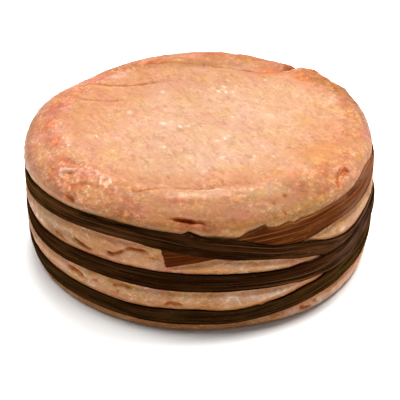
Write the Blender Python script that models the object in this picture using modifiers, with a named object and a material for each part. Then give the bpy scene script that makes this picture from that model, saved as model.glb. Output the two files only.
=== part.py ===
"""A washed-rind cheese wheel wound with two strips of sedge.

Metres, +Z up. The wheel stands on Z = 0 with its axis on Z, and -Y is the front. Azimuths are in degrees
from the front, positive towards +X. A place on the rind is an azimuth and a run: the distance along the
turned profile, measured from the middle of the top, over the shoulder and down the side.
"""

import math
from bisect import bisect_right
from collections import namedtuple

import bmesh
import bpy
from mathutils import Vector, geometry, noise

MM = 0.001

# The wheel
RADIUS = 59.7 * MM
HEIGHT = 46.0 * MM
PLATEAU_RADIUS = 45.0 * MM
SHOULDER_SLOPE = 24.0
SHOULDER_CORNER_RADIUS = 6.0 * MM
FOOT_TAPER = 18.0
FOOT_CURVE_HEIGHT = 14.5 * MM
FOOT_CORNER_RADIUS = 2.0 * MM
LEVEL_FOOT = 1.5 * MM

# Steps of the turned profile in its level, rounded and upright stretches
TURN_STEPS = 108
PLATEAU_RINGS = 9
SHOULDER_RINGS = 6
CORNER_RINGS = 4
SIDE_RINGS = 13
FOOT_RINGS = 6
FOOT_CORNER_RINGS = 2
BASE_RINGS = 2
MERGE_DISTANCE = 0.01 * MM

# Slow unevenness of the rind, and the sides that swell or fall in outside the flat middle of the top
LUMP_SIZE = 26.0 * MM
LUMP_HEIGHT = 0.35 * MM
FLAT_RADIUS = 26.0 * MM
Swelling = namedtuple("Swelling", "azimuth half_width height")
SWELLINGS = (
    Swelling(118, 30, 0.9 * MM),
    Swelling(127, 15, 0.8 * MM),
    Swelling(150, 11, -1.0 * MM),
    Swelling(-140, 34, -1.4 * MM),
    Swelling(-145, 9, -0.5 * MM),
    Swelling(-112, 12, 0.4 * MM),
    Swelling(-80, 32, 1.1 * MM),
    Swelling(48, 26, 1.1 * MM),
    Swelling(95, 9, -0.55 * MM),
)

# The mat that the wheel drained on left a straight step along the back of the top.
MAT_STEP_Y = 41.5 * MM
MAT_STEP_WIDTH = 2.5 * MM
MAT_STEP_HEIGHT = 0.85 * MM

# The sedge strips
STRIP_THICKNESS = 0.6 * MM
GAP = 0.3 * MM
GROOVE_DEPTH = 0.75 * MM
GROOVE_MARGIN = 0.5 * MM
GROOVE_EDGE = 1.8 * MM
LIFT_MARGIN = 0.8 * MM
LIFT_EDGE = 2.6 * MM
END_MARGIN = 2.0 * MM
END_EDGE = 7.0 * MM
STEP_ALONG_STRIP = 4.5
COLUMNS_ACROSS_STRIP = 3
TURN = 360.0

# A strip's route is a row of stations, with the azimuth in degrees and the strip's middle height and width
# in millimetres.
Station = namedtuple("Station", "azimuth height width")

# The reddish strip starts with a cut end at the front, rises to the right and goes on round the back.
RED_ROUTE = (
    Station(-11.5, 29.75, 7.5),
    Station(0, 32.3, 6.6),
    Station(10, 34.6, 7.8),
    Station(20, 35.3, 7.9),
    Station(34, 35.4, 8.7),
    Station(46, 36.3, 7.3),
    Station(58, 36.4, 8.0),
    Station(70, 37.3, 8.9),
    Station(84, 36.0, 6.3),
    Station(98, 34.4, 6.6),
    Station(150, 34.4, 7.2),
    Station(195, 34.6, 7.0),
    Station(232, 33.6, 6.4),
)
RED_END_SLANT = 1.6

# The dark strip goes nearly three times round, and its azimuth counts on from turn to turn.
DARK_ROUTE = (
    Station(-150, 35.2, 6.2),
    Station(-115, 33.0, 6.4),
    Station(-80, 31.5, 6.6),
    Station(-60, 34.4, 6.6),
    Station(-45, 36.0, 6.0),
    Station(-30, 37.1, 6.3),
    Station(-15, 36.7, 6.3),
    Station(0, 35.2, 7.3),
    Station(12, 33.0, 7.8),
    Station(23, 29.9, 5.8),
    Station(33, 27.7, 6.4),
    Station(45, 24.5, 5.7),
    Station(57, 22.5, 6.2),
    Station(68, 23.8, 6.1),
    Station(90, 27.8, 6.2),
    Station(140, 27.6, 6.4),
    Station(200, 24.0, 6.2),
    Station(255, 20.4, 6.4),
    Station(290, 19.3, 6.0),
    Station(305, 20.3, 6.7),
    Station(325, 21.1, 6.5),
    Station(350, 20.7, 6.9),
    Station(370, 20.3, 6.8),
    Station(386, 19.2, 6.4),
    Station(400, 20.0, 7.0),
    Station(415, 19.2, 6.8),
    Station(423, 22.8, 7.1),
    Station(433, 26.3, 5.9),
    Station(450, 24.5, 6.4),
    Station(480, 20.4, 6.4),
    Station(540, 14.6, 6.4),
    Station(600, 9.6, 6.4),
    Station(650, 6.4, 7.2),
    Station(682, 6.5, 7.0),
    Station(698, 6.2, 6.6),
    Station(718, 6.5, 7.1),
    Station(732, 5.9, 6.2),
    Station(748, 7.9, 6.0),
    Station(760, 10.2, 7.7),
    Station(775, 10.5, 7.2),
    Station(787, 12.3, 7.7),
    Station(800, 15.2, 7.0),
    Station(830, 17.6, 6.4),
    Station(858, 18.0, 6.0),
)
DARK_END_SLANT = -1.2
UPPER_TURN_END = 200.0
MIDDLE_TURN_END = 560.0

# Colours in sRGB
RIND_COLOUR = (232, 176, 134)
DARK_SEDGE_COLOUR = (66, 48, 31)
RED_SEDGE_COLOUR = (126, 80, 48)
RIND_ROUGHNESS = 0.6
SEDGE_ROUGHNESS = 0.5


def smooth_step(value):
    """0 below 0, 1 above 1, and a smooth rise between."""
    value = min(max(value, 0.0), 1.0)
    return value * value * (3 - 2 * value)


def arc_points(centre, radius, first, last, count):
    """Points after the first along an arc, by the angle of its outward side above the level."""
    points = []
    for index in range(1, count + 1):
        angle = math.radians(first + (last - first) * index / count)
        points.append((centre[0] + radius * math.cos(angle), centre[1] + radius * math.sin(angle)))
    return points


def straight_points(start, end, count):
    """Points after the start, up to and including the end."""
    points = []
    for index in range(1, count + 1):
        share = index / count
        points.append((start[0] + (end[0] - start[0]) * share, start[1] + (end[1] - start[1]) * share))
    return points


def wheel_profile():
    """The turned outline, as radius and height, from the middle of the top to that of the base."""
    slope = math.radians(SHOULDER_SLOPE)
    corner = SHOULDER_CORNER_RADIUS
    shoulder = (RADIUS - PLATEAU_RADIUS - corner * (1 - math.sin(slope))) / math.sin(slope)
    shoulder_drop = shoulder * (1 - math.cos(slope)) + corner * math.cos(slope)
    shoulder_centre = (PLATEAU_RADIUS, HEIGHT - shoulder)
    corner_centre = (RADIUS - corner, HEIGHT - shoulder_drop)

    taper = math.radians(FOOT_TAPER)
    foot = FOOT_CORNER_RADIUS
    foot_curve = (FOOT_CURVE_HEIGHT - foot * (1 - math.sin(taper))) / math.sin(taper)
    foot_inset = foot_curve * (1 - math.cos(taper)) + foot * math.cos(taper)
    foot_curve_centre = (RADIUS - foot_curve, FOOT_CURVE_HEIGHT)
    foot_corner_centre = (RADIUS - foot_inset, foot)

    points = [(0.0, HEIGHT)]
    points += straight_points(points[0], (PLATEAU_RADIUS, HEIGHT), PLATEAU_RINGS)
    points += arc_points(shoulder_centre, shoulder, 90, 90 - SHOULDER_SLOPE, SHOULDER_RINGS)
    points += arc_points(corner_centre, corner, 90 - SHOULDER_SLOPE, 0, CORNER_RINGS)
    points += straight_points(points[-1], (RADIUS, FOOT_CURVE_HEIGHT), SIDE_RINGS)
    points += arc_points(foot_curve_centre, foot_curve, 0, -FOOT_TAPER, FOOT_RINGS)
    points += arc_points(foot_corner_centre, foot, -FOOT_TAPER, -90, FOOT_CORNER_RINGS)
    points += straight_points(points[-1], (0.0, 0.0), BASE_RINGS)
    return points


def profile_runs(points):
    """How far along the profile each of its points lies."""
    runs = [0.0]
    for before, after in zip(points, points[1:]):
        runs.append(runs[-1] + math.dist(before, after))
    return runs


def profile_normals(points):
    """The outward direction at each point of the profile, as its radial and upward parts."""
    normals = []
    last = len(points) - 1
    for index in range(len(points)):
        before = points[max(index - 1, 0)]
        after = points[min(index + 1, last)]
        length = math.dist(before, after)
        normals.append(((before[1] - after[1]) / length, (after[0] - before[0]) / length))
    return normals


PROFILE = wheel_profile()
RUNS = profile_runs(PROFILE)
NORMALS = profile_normals(PROFILE)
SIDE_START = PLATEAU_RINGS


def wheel_point(azimuth, run, offset=0.0):
    """The point at this place of the turned outline, moved outward by the offset."""
    index = min(max(bisect_right(RUNS, run) - 1, 0), len(RUNS) - 2)
    share = (run - RUNS[index]) / (RUNS[index + 1] - RUNS[index])
    near, far = PROFILE[index], PROFILE[index + 1]
    near_normal, far_normal = NORMALS[index], NORMALS[index + 1]
    radius = near[0] + (far[0] - near[0]) * share
    height = near[1] + (far[1] - near[1]) * share
    radius += offset * (near_normal[0] + (far_normal[0] - near_normal[0]) * share)
    height += offset * (near_normal[1] + (far_normal[1] - near_normal[1]) * share)
    angle = math.radians(azimuth)
    return Vector((radius * math.sin(angle), -radius * math.cos(angle), height))


def run_at_height(height):
    """The run of the place on the shoulder or side that is this high."""
    index = SIDE_START
    while PROFILE[index + 1][1] > height:
        index += 1
    share = (PROFILE[index][1] - height) / (PROFILE[index][1] - PROFILE[index + 1][1])
    return RUNS[index] + (RUNS[index + 1] - RUNS[index]) * share


def on_side(azimuth, height):
    """A point of the side, from its azimuth and its height in millimetres."""
    return wheel_point(azimuth, run_at_height(height * MM))


def on_top(azimuth, radius):
    """A point of the top or shoulder, from its azimuth and its run in millimetres."""
    return wheel_point(azimuth, radius * MM)


# A fold is a crease or a ridge along a path over the rind: a positive height is a ridge.
Fold = namedtuple("Fold", "path width height")
FOLDS = (
    # The deep fold above the upper turn, with its lip
    Fold((on_top(-11.5, 58.0), on_top(-7, 57.5), on_top(-2, 58.1), on_top(1.5, 58.7)), 1.3 * MM, -1.1 * MM),
    Fold((on_side(-10, 41.9), on_side(-3, 41.9), on_side(3, 41.2)), 1.6 * MM, 0.45 * MM),
    # The wrinkle on the left shoulder
    Fold((on_top(-56, 54.2), on_top(-54, 50.4), on_top(-48, 48.7), on_top(-44, 46.9), on_top(-35, 49.3)),
         1.6 * MM, 0.7 * MM),
    Fold((on_top(-58, 52.7), on_top(-57, 48.7), on_top(-53, 47.0)), 1.6 * MM, -0.5 * MM),
    # The forked tear on the right shoulder
    Fold((on_top(50, 58.1), on_top(56, 55.8), on_top(60, 53.9), on_top(60, 58.1)), 1.5 * MM, -0.8 * MM),
    # The crease along the front edge of the plateau
    Fold((on_top(-31, 49.9), on_top(-21, 45.3), on_top(-9, 42.8), on_top(2, 41.4), on_top(18, 42.2)),
         1.5 * MM, -0.45 * MM),
    # Lines pressed into the left of the top by the mat
    Fold((on_top(-127, 50.7), on_top(-148, 35.2)), 1.5 * MM, -0.45 * MM),
    Fold((on_top(-109, 51.0), on_top(-119, 30.8)), 1.5 * MM, -0.45 * MM),
    # The notch and the bumps of the rim at the back right
    Fold((on_top(144, 48.0), on_top(143, 60.0)), 2.6 * MM, -1.4 * MM),
    Fold((on_top(130, 54.0), on_top(122, 57.0)), 3.0 * MM, 0.7 * MM),
    # Wrinkles of the side between the upper and the middle turn
    Fold((on_side(-56, 28.0), on_side(-50, 26.4)), 1.4 * MM, -0.5 * MM),
    Fold((on_side(-44, 28.6), on_side(-39, 27.6), on_side(-34, 26.9)), 1.4 * MM, -0.7 * MM),
    Fold((on_side(-30, 29.6), on_side(-23, 30.3), on_side(-17, 31.2)), 1.4 * MM, -0.6 * MM),
    Fold((on_side(-2, 26.4), on_side(9, 26.6)), 1.6 * MM, 0.4 * MM),
    # Wrinkles between the middle and the lower turn
    Fold((on_side(-47, 15.6), on_side(-40, 14.8), on_side(-33, 15.6)), 1.4 * MM, -0.6 * MM),
    Fold((on_side(-28, 15.4), on_side(-20, 16.2)), 1.4 * MM, -0.5 * MM),
    Fold((on_side(-9, 13.4), on_side(4, 13.8), on_side(15, 13.0)), 1.6 * MM, 0.5 * MM),
    # Wrinkles round the back
    Fold((on_side(118, 33.0), on_side(132, 31.6)), 1.6 * MM, -0.6 * MM),
    Fold((on_side(160, 20.5), on_side(176, 19.4)), 1.6 * MM, -0.6 * MM),
    Fold((on_side(216, 29.0), on_side(232, 28.2)), 1.6 * MM, -0.6 * MM),
    Fold((on_side(236, 14.6), on_side(252, 13.6)), 1.6 * MM, -0.6 * MM),
)

# A winding is a stretch of strip that goes at most once round. It lies over others, each with the turn that
# brings an azimuth of this winding into the count of the one below.
Winding = namedtuple("Winding", "route first last over")
RED = Winding(RED_ROUTE, RED_ROUTE[0].azimuth, RED_ROUTE[-1].azimuth, ())
LOWER = Winding(DARK_ROUTE, MIDDLE_TURN_END, DARK_ROUTE[-1].azimuth, ())
UPPER = Winding(DARK_ROUTE, DARK_ROUTE[0].azimuth, UPPER_TURN_END, ((RED, 0), (RED, TURN)))
MIDDLE = Winding(DARK_ROUTE, UPPER_TURN_END, MIDDLE_TURN_END, ((UPPER, -TURN), (LOWER, TURN)))
WINDINGS = (RED, UPPER, MIDDLE, LOWER)


def along_route(route, azimuth, field):
    """The route's height or width at an azimuth, on a smooth curve through its stations."""
    azimuths = [station.azimuth for station in route]
    values = [getattr(station, field) for station in route]
    index = min(max(bisect_right(azimuths, azimuth) - 1, 0), len(route) - 2)

    def slope(at):
        before, after = max(at - 1, 0), min(at + 1, len(route) - 1)
        return (values[after] - values[before]) / (azimuths[after] - azimuths[before])

    step = azimuths[index + 1] - azimuths[index]
    share = min(max((azimuth - azimuths[index]) / step, 0.0), 1.0)
    rise = smooth_step(share)
    leave = share * (1 - share) ** 2 * step * slope(index)
    arrive = share ** 2 * (1 - share) * step * slope(index + 1)
    return values[index] * (1 - rise) + values[index + 1] * rise + leave - arrive


def strip_middle(winding, azimuth):
    """The run of the strip's middle line."""
    return run_at_height(along_route(winding.route, azimuth, "height") * MM)


def strip_width(winding, azimuth):
    return along_route(winding.route, azimuth, "width") * MM


def nearness(winding, azimuth, run, side_margin, side_edge, end_margin, end_edge):
    """1 on and close round a winding, falling smoothly to 0 away from its sides and ends."""
    past_end = max(winding.first - azimuth, azimuth - winding.last, 0.0)
    past_end = math.radians(past_end) * RADIUS
    along = 1 - smooth_step((past_end - end_margin) / end_edge)
    if along == 0:
        return 0.0
    past_side = abs(run - strip_middle(winding, azimuth)) - strip_width(winding, azimuth) / 2
    return along * (1 - smooth_step((past_side - side_margin) / side_edge))


def cover(azimuth, run):
    """1 where strips press on the rind."""
    pressed = 0.0
    for winding in WINDINGS:
        middle = (winding.first + winding.last) / 2
        local = azimuth + TURN * round((middle - azimuth) / TURN)
        pressed = max(pressed, nearness(winding, local, run, GROOVE_MARGIN, GROOVE_EDGE, 0.0, END_EDGE))
    return pressed


def lift(winding, azimuth, run):
    """How far a winding is raised off the rind by the windings under it."""
    highest = 0.0
    for below, turn in winding.over:
        local = azimuth + turn
        near = nearness(below, local, run, LIFT_MARGIN, LIFT_EDGE, END_MARGIN, END_EDGE)
        highest = max(highest, near * (lift(below, local, run) + STRIP_THICKNESS + GAP))
    return highest


def fold_height(fold, point):
    """The height of a fold at a point of the wheel."""
    nearest = math.inf
    for start, end in zip(fold.path, fold.path[1:]):
        closest, share = geometry.intersect_point_line(point, start, end)
        closest = start + (end - start) * min(max(share, 0.0), 1.0)
        nearest = min(nearest, (point - closest).length)
    return fold.height * math.exp(-((nearest / fold.width) ** 2))


def swelling_height(azimuth):
    """The broad swells of the side at an azimuth."""
    total = 0.0
    for swelling in SWELLINGS:
        away = (azimuth - swelling.azimuth + TURN / 2) % TURN - TURN / 2
        total += swelling.height * math.exp(-((away / swelling.half_width) ** 2))
    return total


def rind_relief(azimuth, run):
    """How far the rind stands outside the turned outline at a place."""
    point = wheel_point(azimuth, run)
    outward = smooth_step((point.xy.length - FLAT_RADIUS) / (PLATEAU_RADIUS - FLAT_RADIUS))
    slow = LUMP_HEIGHT * noise.noise(point / LUMP_SIZE) + swelling_height(azimuth) * outward
    slow += MAT_STEP_HEIGHT * smooth_step((point.y - MAT_STEP_Y) / MAT_STEP_WIDTH)
    folds = sum(fold_height(fold, point) for fold in FOLDS)
    pressed = cover(azimuth, run)
    level = smooth_step(point.z / LEVEL_FOOT)
    return level * (slow + folds * (1 - pressed) - GROOVE_DEPTH * pressed)


def principled(name, colour, roughness):
    """A material of one sRGB colour."""
    material = bpy.data.materials.new(name)
    material.use_nodes = True
    linear = [((channel / 255 + 0.055) / 1.055) ** 2.4 for channel in colour]
    shader = material.node_tree.nodes["Principled BSDF"]
    shader.inputs["Base Color"].default_value = (*linear, 1)
    shader.inputs["Roughness"].default_value = roughness
    shader.inputs["Metallic"].default_value = 0.0
    return material


def add_object(name, mesh, material, collection):
    mesh.materials.append(material)
    obj = bpy.data.objects.new(name, mesh)
    collection.objects.link(obj)
    return obj


def turned_wheel(collection, material):
    """The profile turned by a Screw modifier, as a mesh."""
    outline = bpy.data.meshes.new("cheese_outline")
    points = [(radius, 0, height) for radius, height in PROFILE]
    edges = [(index, index + 1) for index in range(len(points) - 1)]
    outline.from_pydata(points, edges, [])
    turned = add_object("cheese_wheel", outline, material, collection)
    screw = turned.modifiers.new("turn", "SCREW")
    screw.steps = TURN_STEPS
    screw.render_steps = TURN_STEPS
    screw.use_merge_vertices = True
    screw.merge_threshold = MERGE_DISTANCE
    evaluated = turned.evaluated_get(bpy.context.evaluated_depsgraph_get())
    turned.data = bpy.data.meshes.new_from_object(evaluated)
    turned.modifiers.clear()
    bpy.data.meshes.remove(outline)
    return turned


def cheese_wheel(collection):
    """The turned wheel with its grooves, folds and unevenness."""
    wheel = turned_wheel(collection, principled("rind", RIND_COLOUR, RIND_ROUGHNESS))
    for vertex in wheel.data.vertices:
        radius, height = vertex.co.xy.length, vertex.co.z
        index = min(range(len(PROFILE)), key=lambda at: math.dist(PROFILE[at], (radius, height)))
        azimuth = math.degrees(math.atan2(vertex.co.x, -vertex.co.y))
        run = RUNS[index]
        vertex.co = wheel_point(azimuth, run, rind_relief(azimuth, run))
    wheel.data.shade_smooth()
    return wheel


def winding_at(windings, azimuth):
    """The winding of a strip that this azimuth belongs to."""
    for winding in windings:
        if azimuth <= winding.last:
            return winding
    return windings[-1]


def sedge_strip(name, windings, end_slant, material, collection):
    """A flat ribbon laid round the wheel, thickened outward by Solidify."""
    first, last = windings[0].first, windings[-1].last
    steps = round((last - first) / STEP_ALONG_STRIP)
    ribbon = bmesh.new()
    bmesh.ops.create_grid(ribbon, x_segments=steps, y_segments=COLUMNS_ACROSS_STRIP, size=0.5)
    for vertex in ribbon.verts:
        along, across = vertex.co.x + 0.5, vertex.co.y
        azimuth = first + (last - first) * along - end_slant * across
        winding = winding_at(windings, azimuth)
        run = strip_middle(winding, azimuth) - strip_width(winding, azimuth) * across
        height = rind_relief(azimuth, run) + GAP + lift(winding, azimuth, run)
        vertex.co = wheel_point(azimuth, run, height)
    mesh = bpy.data.meshes.new(name)
    ribbon.to_mesh(mesh)
    ribbon.free()
    mesh.shade_smooth()
    strip = add_object(name, mesh, material, collection)
    thicken = strip.modifiers.new("thickness", "SOLIDIFY")
    thicken.thickness = STRIP_THICKNESS
    thicken.offset = 1
    return strip


def clear_scene():
    for obj in list(bpy.data.objects):
        bpy.data.objects.remove(obj, do_unlink=True)


def build():
    clear_scene()
    collection = bpy.data.collections.new("livarot_cheese")
    bpy.context.scene.collection.children.link(collection)
    cheese_wheel(collection)
    red = principled("red_sedge", RED_SEDGE_COLOUR, SEDGE_ROUGHNESS)
    dark = principled("dark_sedge", DARK_SEDGE_COLOUR, SEDGE_ROUGHNESS)
    sedge_strip("sedge_strip_red", (RED,), RED_END_SLANT, red, collection)
    sedge_strip("sedge_strip_dark", (UPPER, MIDDLE, LOWER), DARK_END_SLANT, dark, collection)


build()
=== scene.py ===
"""The washed-rind cheese wheel of the photograph, wound with its two sedge strips.

Metres, +Z up. The wheel stands on Z = 0 with its axis on Z, and -Y is the front. Azimuths are in degrees
from the front, positive towards +X. A place on the rind is an azimuth and a run: the distance along the
turned profile from the middle of the top, over the shoulder and down the side.
"""

import math
from collections import namedtuple
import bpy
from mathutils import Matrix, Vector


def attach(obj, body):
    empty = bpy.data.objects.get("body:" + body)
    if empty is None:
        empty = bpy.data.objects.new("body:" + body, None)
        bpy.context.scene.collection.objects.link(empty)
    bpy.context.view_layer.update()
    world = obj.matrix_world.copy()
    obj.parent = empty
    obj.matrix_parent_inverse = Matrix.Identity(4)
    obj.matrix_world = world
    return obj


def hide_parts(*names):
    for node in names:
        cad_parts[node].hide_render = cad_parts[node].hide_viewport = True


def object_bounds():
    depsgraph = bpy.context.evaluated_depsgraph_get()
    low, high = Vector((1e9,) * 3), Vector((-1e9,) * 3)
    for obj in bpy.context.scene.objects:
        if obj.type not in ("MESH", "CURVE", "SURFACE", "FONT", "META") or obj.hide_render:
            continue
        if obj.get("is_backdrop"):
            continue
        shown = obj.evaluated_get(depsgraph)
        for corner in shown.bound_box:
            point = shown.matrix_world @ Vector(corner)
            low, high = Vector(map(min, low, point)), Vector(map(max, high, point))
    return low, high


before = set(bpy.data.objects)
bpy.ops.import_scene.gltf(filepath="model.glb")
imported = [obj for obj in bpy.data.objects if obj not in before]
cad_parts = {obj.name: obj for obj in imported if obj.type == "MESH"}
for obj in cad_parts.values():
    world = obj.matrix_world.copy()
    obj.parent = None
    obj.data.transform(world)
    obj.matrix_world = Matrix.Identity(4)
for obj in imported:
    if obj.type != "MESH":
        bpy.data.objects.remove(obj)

from types import SimpleNamespace

import bpy
import numpy as np
from mathutils import Vector, noise

MM = 0.001
TURN = 360.0
CAD_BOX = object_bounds()
SEED = 11

# The wheel
RADIUS = 59.7 * MM
HEIGHT = 46.0 * MM
PLATEAU_RADIUS = 45.0 * MM
SHOULDER_SLOPE = 24.0
SHOULDER_CORNER_RADIUS = 6.0 * MM
FOOT_TAPER = 18.0
FOOT_CURVE_HEIGHT = 14.5 * MM
FOOT_CORNER_RADIUS = 2.0 * MM
LEVEL_FOOT = 1.5 * MM
PROFILE_STEP = 0.2 * MM

# Slow unevenness of the rind, and the sides that swell or fall in: an azimuth, a half width in degrees and
# a height in millimetres
LUMP_SIZE = 26.0 * MM
LUMP_HEIGHT = 0.35 * MM
Swelling = namedtuple("Swelling", "azimuth half_width height")
SWELLINGS = tuple(Swelling(*row) for row in (
    (118, 30, 0.9), (127, 15, 0.8), (150, 11, -1.0), (-140, 34, -1.4), (-145, 9, -0.5), (-112, 12, 0.4),
    (-80, 32, 1.1), (48, 26, 1.1), (95, 9, -0.55),
))
# Within this radius nothing swells
FLAT_RADIUS = 26.0 * MM
# The raised band along the back of the top, which fades out at the left
MAT_STEP_Y = 41.5 * MM
MAT_STEP_WIDTH = 2.5 * MM
MAT_STEP_HEIGHT = 0.85 * MM
MAT_STEP_LEFT_END = -41.5 * MM
MAT_STEP_FADE = 9.0 * MM

# The sedge strips, the grooves that they press into the rind, and how softly one rises over another
STRIP_THICKNESS = 0.62 * MM
GAP = 0.13 * MM
GROOVE_DEPTH = 0.75 * MM
GROOVE_MARGIN = 0.5 * MM
GROOVE_EDGE = 1.8 * MM
LIFT_MARGIN = 0.8 * MM
LIFT_EDGE = 2.6 * MM
END_MARGIN = 2.0 * MM
END_EDGE = 7.0 * MM

# A strip's route: the azimuth in degrees, and the strip's middle height and its width in millimetres
RED_ROUTE = np.array((
    (-11.5, 29.75, 7.5), (0, 32.3, 6.6), (10, 34.6, 7.8), (20, 35.3, 7.9), (34, 35.4, 8.7), (46, 36.3, 7.3),
    (58, 36.4, 8.0), (70, 37.3, 8.9), (84, 36.0, 6.3), (98, 34.4, 6.6), (150, 34.4, 7.2), (195, 34.6, 7.0),
    (232, 33.6, 6.4),
))
# By how many degrees the azimuth of a strip's end is less at its upper edge than at its lower edge
RED_END_SLANT = 1.6
DARK_ROUTE = np.array((
    (-150, 35.2, 6.2), (-115, 33.0, 6.4), (-80, 31.5, 6.6), (-60, 34.4, 6.6), (-45, 36.0, 6.0),
    (-30, 37.1, 6.3), (-15, 36.7, 6.3), (0, 35.2, 7.3), (12, 33.0, 7.8), (23, 29.9, 5.8), (33, 27.7, 6.4),
    (45, 24.3, 5.5), (51, 22.6, 5.5), (57, 22.0, 5.7), (68, 23.0, 5.8), (80, 23.9, 5.9), (100, 26.2, 6.2),
    (140, 27.6, 6.4), (200, 24.0, 6.2), (255, 20.4, 6.4), (290, 18.9, 6.0), (305, 19.6, 6.4),
    (325, 20.9, 6.5), (350, 20.7, 6.9), (370, 20.3, 6.8), (386, 19.2, 6.4), (393, 18.6, 6.2),
    (400, 18.4, 6.9), (407, 18.4, 7.2), (415, 19.0, 7.0), (423, 20.6, 7.1), (433, 22.2, 6.3),
    (442, 21.6, 6.4), (454, 20.6, 6.3), (480, 19.8, 6.4), (540, 14.6, 6.4), (600, 9.6, 6.4),
    (650, 6.4, 7.2), (682, 6.5, 7.0), (698, 6.2, 6.6), (718, 6.5, 7.1), (732, 5.9, 6.2), (748, 8.5, 7.2),
    (760, 10.2, 7.7), (768, 10.8, 8.2), (775, 11.5, 7.9), (787, 12.0, 8.7), (800, 13.2, 8.6),
    (830, 16.6, 6.4), (858, 18.0, 6.0),
))
DARK_END_SLANT = -1.2
UPPER_TURN_END = 200.0
MIDDLE_TURN_END = 560.0


def smooth_step(value):
    """0 below 0, 1 above 1, and a smooth rise between."""
    value = np.clip(value, 0.0, 1.0)
    return value * value * (3 - 2 * value)


def rising(value, start, width):
    """0 up to the start, then rising smoothly over the width to 1."""
    return smooth_step((value - start) / width)


def falling(value, end, width):
    """1 at first, then falling smoothly over the width to 0 at the end."""
    return smooth_step((end - value) / width)


def bell(*distances):
    """1 where all the distances are 0, and less further off."""
    return np.exp(-sum(distance ** 2 for distance in distances))


def within_half_turn(azimuth):
    """The same azimuth counted from the front, from minus to plus half a turn."""
    return (azimuth + TURN / 2) % TURN - TURN / 2


def arc_points(centre, radius, first, last):
    """Points after the first along an arc, by the angle of its outward side above the level."""
    count = max(2, round(abs(math.radians(last - first)) * radius / PROFILE_STEP))
    angles = np.radians(np.linspace(first, last, count + 1)[1:])
    return np.column_stack((centre[0] + radius * np.cos(angles), centre[1] + radius * np.sin(angles)))


def straight_points(start, end):
    """Points after the start, up to and including the end."""
    count = max(2, round(math.dist(start, end) / PROFILE_STEP))
    shares = np.linspace(0, 1, count + 1)[1:, None]
    return np.asarray(start) + (np.asarray(end) - np.asarray(start)) * shares


def wheel_profile():
    """The turned outline, as radius and height, from the middle of the top to the edge of the base."""
    slope = math.radians(SHOULDER_SLOPE)
    corner = SHOULDER_CORNER_RADIUS
    shoulder = (RADIUS - PLATEAU_RADIUS - corner * (1 - math.sin(slope))) / math.sin(slope)
    shoulder_drop = shoulder * (1 - math.cos(slope)) + corner * math.cos(slope)
    taper = math.radians(FOOT_TAPER)
    foot = FOOT_CORNER_RADIUS
    foot_curve = (FOOT_CURVE_HEIGHT - foot * (1 - math.sin(taper))) / math.sin(taper)
    foot_inset = foot_curve * (1 - math.cos(taper)) + foot * math.cos(taper)

    return np.concatenate((
        np.array([(0.0, HEIGHT)]),
        straight_points((0.0, HEIGHT), (PLATEAU_RADIUS, HEIGHT)),
        arc_points((PLATEAU_RADIUS, HEIGHT - shoulder), shoulder, 90, 90 - SHOULDER_SLOPE),
        arc_points((RADIUS - corner, HEIGHT - shoulder_drop), corner, 90 - SHOULDER_SLOPE, 0),
        straight_points((RADIUS, HEIGHT - shoulder_drop), (RADIUS, FOOT_CURVE_HEIGHT)),
        arc_points((RADIUS - foot_curve, FOOT_CURVE_HEIGHT), foot_curve, 0, -FOOT_TAPER),
        arc_points((RADIUS - foot_inset, foot), foot, -FOOT_TAPER, -90),
    ))


def profile_table():
    """The profile with its runs and its outward directions."""
    points = wheel_profile()
    steps = np.linalg.norm(np.diff(points, axis=0), axis=1)
    runs = np.concatenate(([0.0], np.cumsum(steps)))
    along = np.gradient(points, runs, axis=0)
    normals = np.column_stack((-along[:, 1], along[:, 0]))
    normals /= np.linalg.norm(normals, axis=1)[:, None]
    return points, runs, normals


PROFILE, RUNS, NORMALS = profile_table()
SIDE = RUNS >= PLATEAU_RADIUS


def wheel_points(azimuth, run, offset=0.0):
    """The points at these places of the turned outline, moved outward by the offset."""
    radius, height = (np.interp(run, RUNS, points) + offset * np.interp(run, RUNS, outward)
                      for points, outward in zip(PROFILE.T, NORMALS.T))
    angle = np.radians(azimuth)
    return np.stack((radius * np.sin(angle), -radius * np.cos(angle), height), axis=-1)


def run_at_height(height):
    """The run of the place on the shoulder or side that is this high."""
    return np.interp(-height, -PROFILE[SIDE, 1], RUNS[SIDE])


def wobble(points, size, shift=0.0):
    """Smooth noise from about -1 to 1, with features of this size."""
    places = (np.asarray(points) / size + shift).reshape(-1, 3).tolist()
    values = np.array([noise.noise(place) for place in places])
    return values.reshape(np.shape(points)[:-1])


def warped(points, size, amount, shifts):
    """The points moved about by noise with features of this size."""
    return points + amount * np.stack([wobble(points, size, shift) for shift in shifts], axis=-1)


def hashed(column, row, seed):
    """A number from 0 to 1 for each cell of a grid."""
    value = np.sin(column * 127.1 + row * 311.7 + seed * 74.7) * 43758.5453
    return value - np.floor(value)


# Scattered oblong spots: the pitch of the cells that hold at most one each, a spot's half length and half
# width, its slant in degrees, a seed, and the share of the cells that have one. Lengths are in millimetres.
# The dashes of the woven mat slant to the right and forward on the top.
Spots = namedtuple("Spots", "pitch size slant seed share")
WEAVE_PITCH = (2.35, 3.3)
WEAVE_SLANT = -60.0
GAPS = Spots(WEAVE_PITCH, (1.15, 0.45), WEAVE_SLANT, 1, 0.75)
KNOTS = Spots(WEAVE_PITCH, (0.95, 0.5), WEAVE_SLANT, 5, 0.6)
GLINTS = Spots((7.5, 7.2), (1.1, 0.6), WEAVE_SLANT, 9, 0.45)
CROWDED_GLINTS = Spots((2.6, 3.4), (1.2, 0.45), WEAVE_SLANT, 41, 0.7)
YOLKS = Spots((1.3, 1.9), (0.5, 0.7), 0, 37, 0.8)
WRINKLES = Spots((6.0, 2.1), (2.4, 0.4), 7, 13, 0.5)
HOLLOWS = Spots((9.0, 3.7), (3.2, 0.7), -9, 17, 0.45)
THREADS = Spots((4.6, 2.3), (1.5, 0.35), -14, 21, 0.5)
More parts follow.
